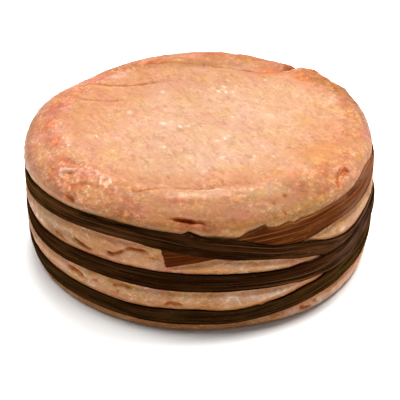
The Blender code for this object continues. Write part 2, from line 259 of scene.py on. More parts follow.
GRAINS = Spots((1.5, 1.3), (0.5, 0.38), 0, 25, 0.7)
BLOTCHES = Spots((6.5, 4.5), (2.3, 1.3), 12, 29, 0.5)
CRUST = Spots((2.1, 1.9), (0.9, 0.45), 35, 33, 0.8)


def scattered(kind, x, y, girth=0.0):
    """The mask of a kind of spots. Where x goes round the wheel, the girth is its whole length."""
    columns = round(girth / kind.pitch[0]) if girth else 0
    width = girth / columns if girth else kind.pitch[0]
    height = kind.pitch[1]
    cosine, sine = math.cos(math.radians(kind.slant)), math.sin(math.radians(kind.slant))
    here, line = np.floor(x / width), np.floor(y / height)
    total = np.zeros(len(x))
    for step_x in (-1, 0, 1):
        for step_y in (-1, 0, 1):
            column, row = here + step_x, line + step_y
            cell = column % columns if girth else column
            away_x = x - (column + 0.1 + 0.8 * hashed(cell, row, kind.seed)) * width
            away_y = y - (row + 0.1 + 0.8 * hashed(cell, row, kind.seed + 1)) * height
            chance = hashed(cell, row, kind.seed + 2)
            strength = np.clip((chance - 1 + kind.share) / kind.share, 0, 1)
            along = away_x * cosine + away_y * sine
            across = away_y * cosine - away_x * sine
            total += strength * bell(along / kind.size[0], across / kind.size[1])
    return total


def fibre_wobble(along, across, length, width, shift=0.0):
    """Noise drawn out along a strip, from lengths along and across it."""
    points = np.stack(np.broadcast_arrays(along / length, across / width, shift), axis=-1)
    return wobble(points, 1.0)


# A winding is a stretch of a route between two azimuths. It lies over other windings, each given with the
# turn that leads from this winding's azimuths to the other's.
Winding = namedtuple("Winding", "route first last over")
RED = Winding(RED_ROUTE, RED_ROUTE[0, 0], RED_ROUTE[-1, 0], ())
LOWER = Winding(DARK_ROUTE, MIDDLE_TURN_END, DARK_ROUTE[-1, 0], ())
UPPER = Winding(DARK_ROUTE, DARK_ROUTE[0, 0], UPPER_TURN_END, ((RED, 0), (RED, TURN)))
MIDDLE = Winding(DARK_ROUTE, UPPER_TURN_END, MIDDLE_TURN_END, ((UPPER, -TURN), (LOWER, TURN)))
WINDINGS = (RED, UPPER, MIDDLE, LOWER)


def along_route(route, azimuth, column):
    """The route's height or width at an azimuth, on a smooth curve through its stations."""
    azimuths, values = route[:, 0], route[:, column]
    stations = np.arange(len(route))
    before, after = np.maximum(stations - 1, 0), np.minimum(stations + 1, len(route) - 1)
    slopes = (values[after] - values[before]) / (azimuths[after] - azimuths[before])
    index = np.clip(np.searchsorted(azimuths, azimuth, side="right") - 1, 0, len(route) - 2)
    step = azimuths[index + 1] - azimuths[index]
    share = np.clip((azimuth - azimuths[index]) / step, 0.0, 1.0)
    rise = smooth_step(share)
    leave = share * (1 - share) ** 2 * step * slopes[index]
    arrive = share ** 2 * (1 - share) * step * slopes[index + 1]
    return values[index] * (1 - rise) + values[index + 1] * rise + leave - arrive


def strip_middle(winding, azimuth):
    """The run of the strip's middle line."""
    return run_at_height(along_route(winding.route, azimuth, 1) * MM)


def strip_width(winding, azimuth):
    return along_route(winding.route, azimuth, 2) * MM


def nearness(winding, azimuth, run, side_margin, side_edge, end_margin):
    """1 on and close round a winding, falling smoothly to 0 away from its sides and ends."""
    past_end = np.maximum(np.maximum(winding.first - azimuth, azimuth - winding.last), 0.0)
    past_end = np.radians(past_end) * RADIUS
    along = 1 - rising(past_end, end_margin, END_EDGE)
    past_side = np.abs(run - strip_middle(winding, azimuth)) - strip_width(winding, azimuth) / 2
    return along * (1 - rising(past_side, side_margin, side_edge))


def cover(azimuth, run, margin=GROOVE_MARGIN, edge=GROOVE_EDGE):
    """1 where strips press on the rind."""
    pressed = np.zeros(np.shape(azimuth))
    for winding in WINDINGS:
        middle = (winding.first + winding.last) / 2
        local = azimuth + TURN * np.round((middle - azimuth) / TURN)
        pressed = np.maximum(pressed, nearness(winding, local, run, margin, edge, 0.0))
    return pressed


def lift(winding, azimuth, run):
    """How far a winding is raised off the rind by the windings under it."""
    highest = np.zeros(np.shape(azimuth))
    for below, turn in winding.over:
        local = azimuth + turn
        near = nearness(below, local, run, LIFT_MARGIN, LIFT_EDGE, END_MARGIN)
        highest = np.maximum(highest, near * (lift(below, local, run) + STRIP_THICKNESS + GAP))
    return highest


def slow_relief(azimuth, run):
    """The broad unevenness of the rind."""
    points = wheel_points(azimuth, run)
    radius = np.linalg.norm(points[..., :2], axis=-1)
    outward = rising(radius, FLAT_RADIUS, PLATEAU_RADIUS - FLAT_RADIUS)
    swelling = np.zeros(np.shape(azimuth))
    for swell in SWELLINGS:
        away = within_half_turn(azimuth - swell.azimuth)
        swelling += swell.height * MM * bell(away / swell.half_width)
    slow = LUMP_HEIGHT * wobble(points, LUMP_SIZE) + swelling * outward
    step = rising(points[..., 1], MAT_STEP_Y, MAT_STEP_WIDTH)
    return slow + MAT_STEP_HEIGHT * step * rising(points[..., 0], MAT_STEP_LEFT_END, MAT_STEP_FADE)


# A crease lies along a path of places, each an azimuth and a run in millimetres. A negative depth is a
# ridge. The stain is how reddish brown and how dark it is, the darkness being painted shade in the crease,
# and the bloom is how whitish, partly a painted glint on a ridge. The lip is a swelling beside it, on its
# lower side, or on its upper side if it is negative.
Crease = namedtuple("Crease", "path width depth stain lip bloom", defaults=(0, 0, 0))
CREASES = tuple(Crease(*row) for row in (
    # Along the front edge of the plateau
    (((-31, 49.9), (-26, 47.9), (-20.8, 45.3), (-15, 43.5), (-8.8, 42.8), (-1, 42.2)), 0.5, 0.25, 0.7, 0.1),
    (((-6, 41.8), (2.2, 41), (10.2, 41), (18.2, 42), (24, 44.4)), 1.2, 0.25, 0.42, 0.1),
    (((-4, 42.8), (3, 42.6), (9, 42.6)), 0.5, 0.35, 0.5, 0.1),
    (((-3, 40.2), (6, 39.2), (14, 39.4), (22, 41.2)), 1, 0, 0.18),
    (((-2, 43.9), (5, 43.9), (12, 44.6)), 0.6, -0.25, 0, 0, 0.7),
    # The deep fold above the upper turn
    (((-11, 57.5), (-7.2, 57.3), (-4.4, 57.7), (-1.8, 58.1), (2.4, 59)), 0.5, 0.6, 0.8, -0.3),
    (((-8.6, 57.4), (-6.2, 57.5), (-3.2, 57.9), (-0.8, 58.3)), 0.55, 0.6, 0.7),
    (((-15.5, 57), (-10, 57.2), (-4, 57.4), (2, 58.6)), 1.7, 0.2, 0.3),
    (((0.5, 60.3), (4, 60.6)), 1.3, 0.3, 0.5),
    (((-5.6, 61.6), (-3.8, 60.7), (-1.2, 61), (1, 62.2)), 0.4, -0.2, 0, 0, 1),
    (((-8.5, 59), (-4.5, 59.5), (-1, 59.8)), 1.1, 0.2, 0.35),
    # The wrinkles of the left shoulder
    (((-53.5, 56.5), (-56.5, 54.2), (-55.5, 52.7), (-53.2, 50.7), (-50.8, 49.9), (-47.5, 48.7)),
     0.9, -0.6, 0, 0, 0.7),
    (((-47.8, 46.7), (-43.5, 46.7), (-39, 47.3), (-35, 49.6)), 0.9, -0.55, 0, 0, 0.7),
    (((-60.8, 54.5), (-60.8, 50.7), (-55.8, 48.9), (-50, 47.4)), 1.1, 0.5, 0.1),
    (((-56.5, 54.6), (-54.5, 53.4), (-51.5, 52.6)), 0.6, 0.4, 0.7),
    (((-43, 47.9), (-40.6, 49.4), (-38.6, 51.4)), 0.6, -0.5, 0, 0, 1.2),
    (((-49, 57.5), (-47, 55), (-44, 53), (-39, 50.6)), 1, 0.4, 0.45),
    (((-48.4, 59.7), (-43.4, 60.2)), 0.7, 0.45, 0.9, 0.2),
    # The forked tear of the right shoulder
    (((50, 59.6), (51.5, 57.4), (55, 55.2), (60.8, 54.2)), 0.6, 0.6, 0.8, 0.2),
    (((60.8, 54.2), (59.6, 56.4), (58.3, 58.2)), 0.6, 0.6, 0.9),
    (((60, 55), (57.6, 56.4), (55, 57)), 1.3, 0.6, 0.5),
    (((57.4, 58.2), (55.4, 57.4)), 0.7, -0.35, 0, 0, 0.9),
    (((55, 54.2), (58.8, 53)), 0.5, -0.2, 0, 0, 0.7),
    # Lines that the mat pressed into the left of the top
    (((-128, 51.2), (-132.5, 43.6), (-140, 37.8), (-149, 35), (-162, 32.4)), 0.7, 0.4, 0.7),
    (((-126, 49.6), (-130, 42.4), (-137, 36.8), (-146, 33.6)), 0.7, -0.2, 0, 0, 0.4),
    (((-112.5, 52.4), (-112.8, 43.4), (-116, 36.6), (-123.8, 30.4)), 0.7, 0.4, 0.6),
    (((-110.6, 51.6), (-110.6, 42.8), (-113, 36.2)), 0.7, -0.2, 0, 0, 0.35),
    (((-153, 49.4), (-160, 47.2), (-168, 45.2), (-180, 42.9)), 0.6, 0.3, 0.6),
    (((-156, 46.6), (-168, 43.4), (-180, 41.2), (-195, 40.4)), 0.7, 0, 0, 0, 0.4),
    (((180, 42.5), (165, 41.8), (150, 43.8), (140, 48)), 0.5, 0.3, 0.7),
    # The notch and bumps of the rim at the back right
    (((144, 46), (143, 50), (142.5, 54), (142, 58), (141.5, 62), (141, 66)), 1.7, 1.6, 0.7),
    (((136, 48), (135.5, 52), (135, 56), (134.5, 60), (134, 64)), 3, -0.9),
    (((126.5, 50), (126, 54), (125.5, 58), (125, 62)), 1.2, 0.7, 0.5),
    (((120, 49), (119.5, 54), (119, 59), (118, 64)), 2.6, -0.4),
    (((168, 54), (167, 58), (166, 62)), 2, 0.35, 0.1),
    # Between the upper and the middle turn
    (((-53.5, 76), (-50.8, 75.4), (-48.5, 76.4), (-45.6, 78)), 0.75, 0.6, 0.9, 0.25),
    (((-44.4, 73.4), (-41, 74.4), (-38.5, 75.2), (-34.6, 74.8)), 0.8, 0.8, 0.9, 0.3),
    (((-31, 73.2), (-28.5, 74), (-26.3, 72.8), (-23.8, 71.2)), 0.7, 0.7, 1, 0.3),
    (((-24.5, 71.4), (-21.8, 70.2), (-19.2, 69.7), (-15.3, 70.5)), 0.75, 0.9, 1.1, -0.3),
    (((-30.4, 69.2), (-28, 68.9)), 0.6, 0.3, 0.7),
    # Between the middle and the lower turn
    (((-47.5, 87), (-44.2, 86.4), (-42, 87), (-39.4, 87.7)), 0.75, 0.7, 0.9, 0.3),
    (((-37, 87.2), (-34, 86.6)), 0.7, 0.4, 0.8),
    (((-29, 86), (-25.8, 85.4), (-21, 85.1)), 0.75, 0.6, 1.1, 0.3),
    (((-13.8, 85.6), (-11.5, 84.8), (-9.8, 85.2)), 0.6, -0.3, 0, 0, 0.5),
    (((-12, 90.6), (-9.5, 89.1), (-6.8, 89.3), (-4.4, 90.8)), 0.9, 0.5, 0.9, -0.2),
    (((4, 86), (7.8, 84.8), (10, 84.3), (12.8, 85.1)), 0.8, 0.45, 0.8),
    (((-3.4, 90.8), (0, 89.9), (3.7, 90.6), (7.4, 92.1)), 0.9, 0.4, 0.6, -0.2),
    (((7.6, 89.6), (9.2, 87), (11.8, 86.8), (13.4, 91.2)), 0.35, -0.15, 0, 0, 0.65),
    (((11, 86.6), (12.4, 88.8), (14.2, 92)), 0.35, -0.15, 0, 0, 0.5),
    (((21.8, 92.2), (23.8, 89), (27.2, 89.2)), 0.35, -0.15, 0, 0, 0.9),
    (((25.6, 94), (27.2, 91.8), (29, 89.8)), 0.35, -0.15, 0, 0, 1),
    (((20, 89.2), (18.3, 90.8)), 0.6, -0.3, 0, 0, 0.8),
    # Below the lower turn
    (((33.4, 97.5), (36, 98.6), (39, 99.8)), 0.7, 0.4, 0.9),
    (((39, 97), (41, 98.6)), 0.6, 0.3, 0.8),
))

# Round marks of the rind: an azimuth, a run in millimetres, a half width, a depth, a stain, which darkens
# with painted shade as well as reddens, and a bloom, which whitens, partly as a painted glint
Mark = namedtuple("Mark", "azimuth run size depth stain bloom")
MARKS = tuple(Mark(*row) for row in (
    (30.8, 52.7, 0.9, 0.35, 0.8, 0), (25.8, 54.2, 0.8, 0.3, 0.7, 0), (24, 59.2, 0.8, 0.4, 0.7, 0),
    (28.2, 59, 0.8, 0.35, 0.7, 0), (38, 54.5, 1.3, 0, 0.35, 0), (-26.8, 88.3, 0.8, 0.45, 0.8, 0),
    (42.2, 53.3, 1.3, -0.1, 0, 0.8), (38.5, 57, 1.5, 0, 0, 0.6), (47, 57.8, 1.8, 0, 0, 0.6),
    (50, 73.2, 2.2, -0.1, 0, 0.9), (-17.5, 89, 0.7, -0.1, 0, 0.8), (-15.4, 89, 0.6, -0.1, 0, 0.8),
    (-13.2, 89.6, 0.7, -0.1, 0, 0.7), (-5.5, 76, 0.5, -0.15, 0, 1.2), (-57, 64.2, 1.2, 0, 0, 0.5),
    (-62, 64.8, 1.3, 0, 0, 0.5), (-149.2, 25.5, 1.3, -0.1, 0, 0.9), (162.5, 24.8, 1.1, -0.1, 0, 0.8),
    (152, 24.8, 1.1, -0.1, 0, 0.8), (-106.5, 25.5, 1.3, -0.1, 0, 0.8), (-87, 12.8, 1.2, -0.1, 0, 1),
    (-93.5, 9.8, 0.9, -0.1, 0, 0.8), (-67.2, 7.5, 0.9, -0.1, 0, 0.8), (-64.2, 4.5, 0.9, -0.1, 0, 0.8),
    (25, 13.5, 1.4, -0.1, 0, 0.75), (45.8, 12.8, 1.3, -0.1, 0, 0.65), (-36.8, 20.2, 1.2, -0.1, 0, 0.8),
    (-57.7, 34.5, 1.2, -0.1, 0, 0.6), (-9, 23.2, 1.1, -0.1, 0, 0.7), (19.2, 24, 1.1, -0.1, 0, 0.8),
    (-37.5, 49.3, 1.2, -0.1, 0, 0.8), (2.8, 32.2, 1.1, -0.1, 0, 0.7), (-1.5, 36.8, 1, -0.1, 0, 0.6),
))


UNSEEN_CREASES = 140
UNSEEN_RADIUS = 60.0


def unseen_creases():
    """Wrinkles like those of the front, scattered over the sides and the back."""
    chance = np.random.default_rng(SEED)
    creases = []
    for _ in range(UNSEEN_CREASES):
        azimuth = chance.uniform(62, 296)
        run = chance.uniform(61, 101)
        length = chance.uniform(4, 12)
        path = [(azimuth, run)]
        for _ in range(3):
            azimuth += math.degrees(length / 3 / UNSEEN_RADIUS)
            run += chance.normal(0, 0.7)
            path.append((azimuth, run))
        width = chance.uniform(0.6, 0.9)
        depth = chance.uniform(0.3, 0.8)
        if chance.random() < 0.25:
            creases.append(Crease(tuple(path), width, -0.5 * depth, bloom=chance.uniform(0.3, 0.8)))
        else:
            lip = chance.uniform(-0.3, 0.3)
            creases.append(Crease(tuple(path), width, depth, chance.uniform(0.3, 0.7), lip))
    return creases


def crease_shape(crease, points, run):
    """A crease's depth profile and its closeness, at points of the turned wheel."""
    azimuths, path_runs = np.array(crease.path).T
    path_runs = path_runs * MM
    corners = wheel_points(azimuths, path_runs)
    count = len(corners) - 1
    nearest = np.full(len(points), np.inf)
    share = below = 0.0
    for index in range(count):
        leg = corners[index + 1] - corners[index]
        part = np.clip(((points - corners[index]) @ leg) / (leg @ leg), 0.0, 1.0)
        away = np.linalg.norm(points - corners[index] - part[:, None] * leg, axis=1)
        closer = away < nearest
        nearest = np.where(closer, away, nearest)
        share = np.where(closer, (index + part) / count, share)
        own_run = path_runs[index] + (path_runs[index + 1] - path_runs[index]) * part
        below = np.where(closer, np.sign(run - own_run), below)
    taper = smooth_step((np.minimum(share, 1 - share) + 0.08) / 0.3)
    width = crease.width * MM * (0.6 + 0.4 * taper)
    close = bell(nearest / width) * taper
    beside = bell(nearest / width - 1.7) * taper
    beside *= smooth_step(0.5 + 0.5 * below * np.sign(crease.lip)) if crease.lip else 0.0
    height = (-crease.depth * close + abs(crease.lip) * beside) * MM
    return height, bell(nearest / (width * 1.15)) * taper


def creases_and_marks(points, run, free):
    """The relief, staining and whitening of all creases and marks, at points of the turned wheel."""
    # The staining darkens with painted shade in the hollows; the whitening is partly painted glints
    totals = np.zeros((3, len(points)))
    swayed = warped(points, 3.2 * MM, 0.7 * MM, (3.7, 9.1, 15.3))
    for crease in CREASES + tuple(unseen_creases()):
        height, close = crease_shape(crease, swayed, run)
        totals += height, crease.stain * close, crease.bloom * close
    for mark in MARKS:
        middle = wheel_points(mark.azimuth, mark.run * MM)
        close = bell(np.linalg.norm(swayed - middle, axis=1) / (mark.size * MM))
        totals += np.outer((-mark.depth * MM, mark.stain, mark.bloom), close)
    return totals * free


# Coloured patches of the rind: an azimuth, a run, a half length round the wheel and a half width in
# millimetres, how much pigment they add, and how much yellower or, if negative, redder they are
Patch = namedtuple("Patch", "azimuth run length width pigment warmth")
PATCHES = tuple(Patch(*row) for row in (
    # Red at the left rim and round the left wrinkles
    (-75, 49.8, 3.4, 1.5, 1.3, -0.5), (-60.5, 50.6, 3.2, 1.4, 1.3, -0.5),
    (-48.5, 51.4, 2.6, 1.3, 0.9, -0.4), (-60, 57, 2, 1.2, 0.7, 0.3), (-47.8, 56, 2.4, 1.2, 0.9, 0),
    (-37.5, 58, 1.8, 1, 0.9, -0.4), (-30, 47, 3, 1, 0.6, 0.3), (-24, 53.2, 3.6, 2, 0.4, 0),
    (-26, 49.8, 6, 2.2, -0.6, 0), (-19, 56.5, 3.6, 1.6, 0.4, -0.3), (-10, 50.8, 3.5, 1.1, 0.6, -0.5),
    (-100, 51.6, 3.2, 1.2, 0.5, -0.6), (-105.5, 48.6, 2.6, 1.3, 0.7, -0.4),
    (-115.5, 48.4, 4.2, 1.2, 0.8, 0.1), (-131, 50.4, 6, 1.3, 0.6, -0.5),
    (-89.5, 51.6, 3.4, 1.5, 1, -0.2),
    # Orange and red at the right
    (61.8, 45, 9, 5, 0.5, 0.25), (53.5, 49.8, 4, 3, 0.6, 0), (65.8, 52.4, 4.5, 1.6, 0.4, -0.3),
    (40.5, 46.4, 4, 2, 0.6, -0.4), (38.2, 52.2, 3.2, 1.6, 0.8, -0.5), (34, 41.8, 5, 2, 0.4, 0),
    (58.6, 55.8, 2.2, 1.6, 0.7, 0), (50.5, 54.5, 2, 3, 0.8, -0.2), (45.5, 56.5, 1.8, 1.4, 0.8, -0.6),
    (33, 54.5, 2.6, 1.6, 0.6, -0.5), (14, 56, 4, 2.4, 0.35, -0.6), (86, 57, 5, 2.6, 0.3, -0.6),
    (24, 53, 3, 1.2, 0.5, -0.4), (-4, 49.8, 4.5, 1.8, 0.9, 0), (-42, 47.8, 4, 3, 0.35, 0),
    (15, 35, 8, 5, 0.5, 0),
    # Pale beige beside them
    (31, 50, 4, 2.2, -0.5, 0), (3, 86.4, 11, 2, -0.3, 0), (27, 88, 9, 2.8, -1.5, -0.5),
    (28, 97, 8, 3, -0.9, -0.5), (-48, 86, 5, 2.5, -0.5, -0.2), (-30, 59.6, 5, 1.8, -0.6, 0),
    (-169, 51, 5, 2, -0.4, -0.4), (50, 99.6, 22, 4.5, -1.5, -0.9), (-66, 57.8, 6, 2.5, -0.4, 0),
    (-108, 59.4, 9, 2.8, -1.1, -0.3), (41.8, 50, 2, 1.2, -0.7, 0.6), (50, 55.8, 3, 1.4, -0.5, 0.4),
    (29.8, 58.4, 4, 1.6, -0.4, 0.3), (22, 49, 7, 2, -0.6, 0.1), (16.2, 54.8, 4, 1.5, -0.5, 0.2),
    (43, 60.4, 7, 2, -0.7, 0.1), (-3, 47, 6, 1.6, -0.3, 0.3),
    # The rim at the back
    (147, 46, 5, 2.4, 0.9, 0), (130, 47.4, 7, 3.4, 1, 0), (-179, 38.4, 7, 2.4, -0.35, -0.2),
    (-176, 49.5, 6, 2.4, -0.5, -0.5), (-144, 49, 7, 3, -0.6, -0.5), (-161, 48.4, 7, 1.3, 0.9, 0.1),
    (176, 51.5, 3, 2.4, 0.5, -0.5), (158, 53.5, 8, 2.2, 0.6, -0.2), (146, 56, 7, 2.4, 0.9, -0.3),
    (134, 55.5, 4, 2.2, 0.9, -0.1), (122, 54, 8, 2.4, 0.5, 0.2), (100, 53, 7, 2.5, 0.5, 0.2),
))


def patches(points):
    """The pigment and the warmth that the patches add, at points of the turned wheel."""
    swayed = warped(points, 4.5 * MM, 1.6 * MM, (5.3, 12.1, 19.7))
    totals = np.zeros((2, len(points)))
    for patch in PATCHES:
        away = swayed - wheel_points(patch.azimuth, patch.run * MM)
        turning = math.radians(patch.azimuth)
        along = away @ np.array((math.cos(turning), math.sin(turning), 0.0)) / (patch.length * MM)
        distance = np.linalg.norm(away, axis=1) / (patch.width * MM)
        across = distance ** 2 - (along * patch.length / patch.width) ** 2
        close = np.exp(-np.maximum(across, 0) - along ** 2)
        totals += np.outer((patch.pigment, patch.warmth), close)
    return totals


# Where parts of the rind begin or end, and how wide the change there is, in millimetres or degrees
TOP_EDGE = (42, 6)
SIDE_EDGE = (59, 5)
RIM_EDGE = (44, 7)
STRIPS_EDGE = (66, 3)
ABOVE_STRIPS_EDGE = (57, 2.5)
BELOW_PLATEAU_EDGE = (45, 5)
FOOT_EDGE = (12, 5)
LEFT_EDGE = (-15, 30)
RIGHT_RIM_EDGE = (70, 25)
LEFT_RIM_EDGE = (-50, 20)
BACK_EDGE = (40.5, 2)
BACK_FOOT_EDGE = (30, 6)

# Regions of the rind: their middle and half sizes, first by azimuth and run and then by x and y
Region = namedtuple("Region", "x y half_x half_y")
WORN_RIM = Region(121, 54, 20, 5.5)
CRUSTY_SHOULDER = Region(-49, 52.5, 15, 6)
SHADED_SIDE = Region(-53, 74, 15, 4.5)
CRUSTY_FRONT = Region(-27, -26, 9, 6)
FLAKED_BACK = Region(9, 24, 9, 7)
FLAKED_LEFT = Region(-36, -10, 8, 8)
YELLOW_RIGHT = Region(41, 12, 9, 9)
RED_RIGHT = Region(42, -20, 13, 20)


def inside(region, x, y):
    """1 in the middle of a region, and less further off."""
    return bell((x - region.x) / region.half_x, (y - region.y) / region.half_y)


def rind_places(azimuth, run):
    """Flat lists of places on the rind, with coordinates in millimetres, noise, and masks of its parts."""
    points = wheel_points(azimuth, run)
    at = SimpleNamespace(azimuth=azimuth, run=run, points=points, length=run / MM)
    at.x, at.y, at.z = (points / MM).T
    at.radius = np.hypot(at.x, at.y)
    at.pressed = cover(azimuth, run)
    at.beside = np.clip(cover(azimuth, run, 0.3 * MM, 2.4 * MM) - at.pressed, 0, 1)
    at.free = 1 - at.pressed

    at.big = wobble(points, 17 * MM, 21.0)
    at.middle = wobble(points, 6 * MM, 31.0)
    at.small = wobble(points, 2.4 * MM, 41.0)
    at.tiny = wobble(points, 1.25 * MM, 51.0)
    turning = np.radians(azimuth)
    drawn_out = np.stack((np.cos(turning) * RADIUS / 3.5, np.sin(turning) * RADIUS / 3.5, run), axis=-1)
    at.streak = wobble(drawn_out, 1.9 * MM, 61.0)

    rim = rising(at.radius, *RIM_EDGE)
    at.top = 1 - rising(at.radius, *TOP_EDGE)
    at.side = rising(at.length, *SIDE_EDGE)
    at.shoulder = (1 - at.top) * (1 - at.side)
    at.left = falling(azimuth, *LEFT_EDGE)
    at.back_rim = rising(at.y, *BACK_EDGE) * rising(at.z, *BACK_FOOT_EDGE)
    at.right_rim = rim * rising(azimuth, *RIGHT_RIM_EDGE)
    at.left_rim = rim * falling(azimuth, *LEFT_RIM_EDGE) * (1 - at.side)
    at.worn_rim = inside(WORN_RIM, azimuth, at.length)
    at.crusty = inside(CRUSTY_SHOULDER, azimuth, at.length)
    at.below_edge = rising(at.length, *BELOW_PLATEAU_EDGE) * (1 - at.side)
    at.below_edge *= falling(np.abs(azimuth - 8), 52, 25)
    at.by_strips = rising(at.length, *STRIPS_EDGE)
    at.above_strips = rising(at.length, *ABOVE_STRIPS_EDGE) * (1 - at.by_strips)
    at.above_strips *= falling(np.abs(azimuth - 14), 56, 12)
    at.foot = falling(at.z, *FOOT_EDGE)
    at.patch_pigment, at.patch_warmth = patches(points)
    return at


def add_top_spots(at):
    """The dashes that the mat left on the top, the painted white glints among them, and the yellow grains.
    """
    woven = smooth_step(0.75 + 0.9 * at.big) * at.top
    sway_x, sway_y = at.x + 0.8 * at.small, at.y + 0.8 * at.middle
    at.gaps = woven * scattered(GAPS, sway_x, sway_y)
    at.knots = woven * scattered(KNOTS, sway_x, sway_y)
    flaked = inside(FLAKED_BACK, at.x, at.y) + inside(FLAKED_LEFT, at.x, at.y)
    at.glints = at.top * scattered(GLINTS, at.x, at.y)
    at.glints += 1.4 * flaked * scattered(CROWDED_GLINTS, at.x, at.y)
    at.yolks = inside(YELLOW_RIGHT, at.x, at.y) * scattered(YOLKS, at.x, at.y)


def add_side_spots(at):
    """The small wrinkles, threads, grains, blotches and flakes of the side and the shoulder."""
    girth = 2 * math.pi * RADIUS / MM
    around = np.radians(at.azimuth) * RADIUS / MM
    sway = at.length + 0.7 * wobble(at.points, 7 * MM, 45.0) + 0.35 * at.small
    at.wrinkles = at.side * scattered(WRINKLES, around, sway, girth)
    at.hollows = at.side * scattered(HOLLOWS, around, sway, girth)
    at.threads = at.side * scattered(THREADS, around, sway, girth)
    at.grains = (1 - at.top) * scattered(GRAINS, around, at.length, girth)
    at.blotches = at.shoulder * scattered(BLOTCHES, around, sway, girth)
    crusted = at.crusty + 0.6 * inside(CRUSTY_FRONT, at.x, at.y) + 0.6 * at.worn_rim
    at.crust = crusted * scattered(CRUST, around, at.length, girth)


def rind_relief(at, folds):
    """How far the rind stands out from the turned outline."""
    mat_streak = wobble(at.points * np.array((0.16, 1.0, 1.0)), 1.9 * MM, 71.0)
    fine = 0.1 * at.tiny + 0.13 * at.small + 0.15 * at.middle + 0.12 * at.side * at.streak
    fine += (at.crusty + at.worn_rim) * (0.25 * at.small + 0.2 * at.tiny) + 0.4 * at.crust
    fine += 0.06 * mat_streak * at.top - 0.16 * at.gaps + 0.12 * at.knots + 0.1 * at.glints
    fine += 0.12 * at.yolks - 0.28 * at.wrinkles - 0.3 * at.hollows + 0.14 * at.threads
    fine += 0.09 * at.grains - 0.06 * at.blotches
    relief = slow_relief(at.azimuth, at.run) + folds + fine * MM * at.free
    return smooth_step(at.z * MM / LEVEL_FOOT) * (relief - GROOVE_DEPTH * at.pressed)


def rind_pigment(at):
    """How much pigment the rind has: least in the middle of the top and most at the rim."""
    front = falling(np.abs(at.azimuth), 70, 25)
    pigment = 0.74 + 0.96 * rising(np.hypot(at.x - 9, at.y + 8) / 55, 0.3, 0.95)
    pigment += 0.6 * inside(RED_RIGHT, at.x, at.y)
    pigment += 0.35 * bell((at.y + 38) / 5) * falling(np.abs(at.x), 40, 15)
    pigment += 0.3 * at.back_rim + 0.1 * at.right_rim * (1 - at.side) + 0.22 * at.left_rim
    pigment += at.worn_rim * (0.75 + 0.5 * at.small)
    pigment += (1 - at.top) * front * (0.15 * rising(at.length, 49, 5) + 0.2 * at.left - 0.15)
    pigment += at.side * (1.36 + 0.3 * at.middle + 0.45 * at.foot - pigment)
    pigment += 0.65 * at.below_edge - 0.15 * at.above_strips + 0.2 * at.blotches + 0.1 * at.crusty
    return pigment + 0.16 * at.big * (1 + at.left_rim) + at.patch_pigment * at.free


def rind_shade(at):
    """How bright the rind is: mostly painted light and shade, the side brighter than the top and shoulder.
    """
    # Painted light and shade: the top and the shoulder darker than the side, and the foot brightest
    shade = 0.87 + (0.21 + 0.12 * at.foot) * at.side
    # Painted shade on the shoulder below the plateau's front edge; darker also at the back, right and worn
    # rims
    shade -= 0.2 * at.below_edge + 0.07 * at.back_rim + 0.04 * at.right_rim + 0.15 * at.worn_rim
    # Painted shade over the middle of the top, fading out towards its left and right
    shade -= (0.08 - 0.06 * rising(np.abs(at.x), 10, 25)) * at.top
    # Painted light on the grooves above the strips and on the rind just above them, against the shade there
    shade += 0.2 * at.pressed * (1 - at.by_strips) + 0.14 * at.above_strips
    shade -= 0.34 * inside(SHADED_SIDE, at.azimuth, at.length)
    # Painted shade: the back of the shoulder darker where it turns down towards the side
    behind = rising(np.abs(at.azimuth), 80, 20)
    shade -= 0.2 * rising(at.length, 55.8, 1.5) * behind * (1 - at.side)
    return shade * (1 + 0.2 * np.clip(at.patch_pigment, 0, 1.5))


def rind_warmth(at):
    """How yellow the rind is or, where negative, how red."""
    warmth = at.patch_warmth + (0.32 + 0.25 * at.foot) * at.side
    warmth += (0.02 + 0.1 * rising(at.x, 5, 30)) * at.top
    warmth += 0.15 * at.shoulder * rising(at.azimuth, 15, 20) * falling(at.azimuth, 80, 15)
    warmth += 0.2 * at.below_edge + 0.2 * at.back_rim + 0.3 * at.worn_rim
    return warmth - 0.15 * at.crusty - 0.15 * at.blotches - 0.35 * at.left_rim


def rind_fields(azimuth, run):
    """The relief of the rind and the masks that its colours follow, at flat lists of places."""
    at = rind_places(azimuth, run)
    add_top_spots(at)
    add_side_spots(at)
    folds, stain, bloom = creases_and_marks(at.points, run, at.free)
    # Reddish brown and darker in wrinkles, hollows and the mat's dashes, the darkness painted shade in
    # these recesses
    stain += 0.42 * at.wrinkles + 0.3 * at.hollows + 0.12 * at.gaps
    stain += 0.12 * at.side * smooth_step(1.6 * at.streak)
    # Painted shade beside and under the strips lower down the side, fading out at the base
    stain += (0.1 * at.beside + 0.3 * at.pressed) * at.by_strips * rising(at.z, 1, 3)
    # Whitish pale spots, with painted glints among them on the top
    bloom += 0.4 * at.knots + 0.9 * at.glints + 0.8 * at.threads + at.crust + 0.8 * at.yolks
    bloom += (0.5 + 0.8 * at.left) * at.grains
    fields = {
        "pigment": rind_pigment(at),
        "stain": np.clip(stain, 0, 2),
        "bloom": np.clip(bloom * at.free, 0, 1.2),
        "shade": rind_shade(at),
        "warmth": rind_warmth(at),
        "top": at.top,
        "lively": 1 + 0.35 * rising(at.radius, 20, 22) - 0.5 * at.side,
        "veins": 0.25 + 0.9 * (at.crusty + at.worn_rim) + 0.5 * at.side + 0.25 * at.left_rim,
    }
    return rind_relief(at, folds), fields


# The rind's mesh: rings of points, closer together at the front, with fewer in each ring towards the
# middle of the top
RING_STEP = 0.54 * MM
FRONT_CROWDING = 0.3
RING_POINTS = 576
HALF_RING_RADIUS = 23.0 * MM
QUARTER_RING_RADIUS = 11.0 * MM


